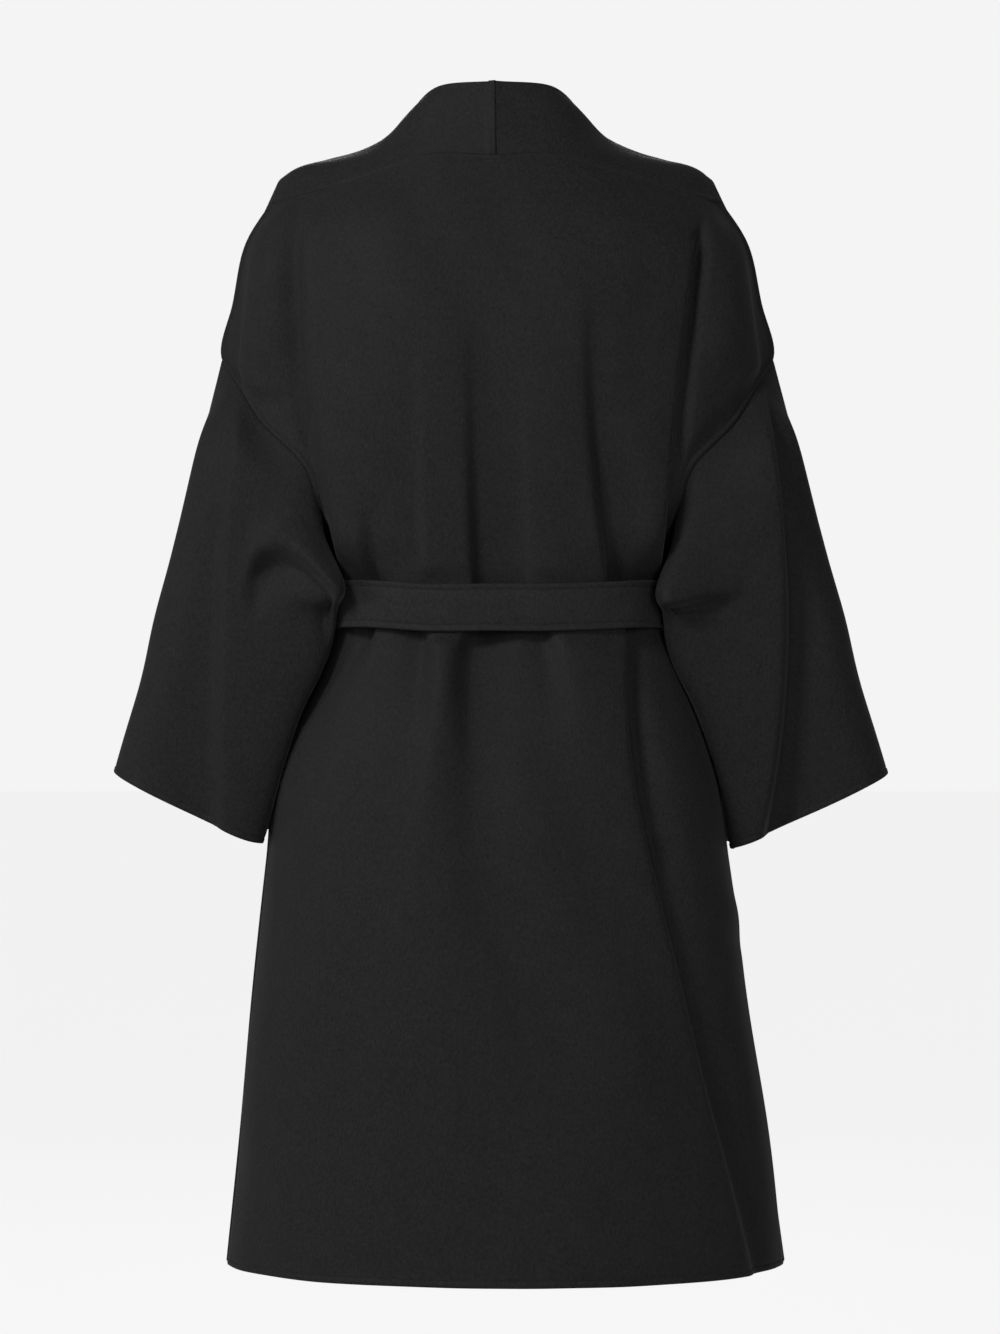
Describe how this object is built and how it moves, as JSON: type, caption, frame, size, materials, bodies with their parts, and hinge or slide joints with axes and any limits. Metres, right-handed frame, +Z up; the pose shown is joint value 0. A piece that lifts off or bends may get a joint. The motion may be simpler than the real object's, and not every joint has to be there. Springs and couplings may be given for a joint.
{
  "type": "belted wrap coat with a standing collar and wide dropped sleeves",
  "caption": "Knee-length wool wrap coat in worn form, hollow, with wide dropped sleeves, a standing grown-on collar and a tied belt at the waist.",
  "frame": {"origin": "at the nape between the shoulders, level with the back-neck seam, where the shoulders carry the coat", "axes": "+Z up, the coat's front faces -Y, the wearer's left is +X"},
  "size_m": [0.778, 0.3835, 1.1723],
  "materials": {
    "wool": "brushed double-faced wool, matt, short nap",
    "belt_wool": "brushed double-faced wool, edge-stitched, matt"
  },
  "bodies": {
    "root": {"back": "wool", "front_left": "wool", "front_right": "wool", "sleeve_left": "wool", "sleeve_right": "wool", "belt": "belt_wool", "belt_knot": "belt_wool", "belt_end_left": "belt_wool", "belt_end_right": "belt_wool"}
  },
  "joints": []
}
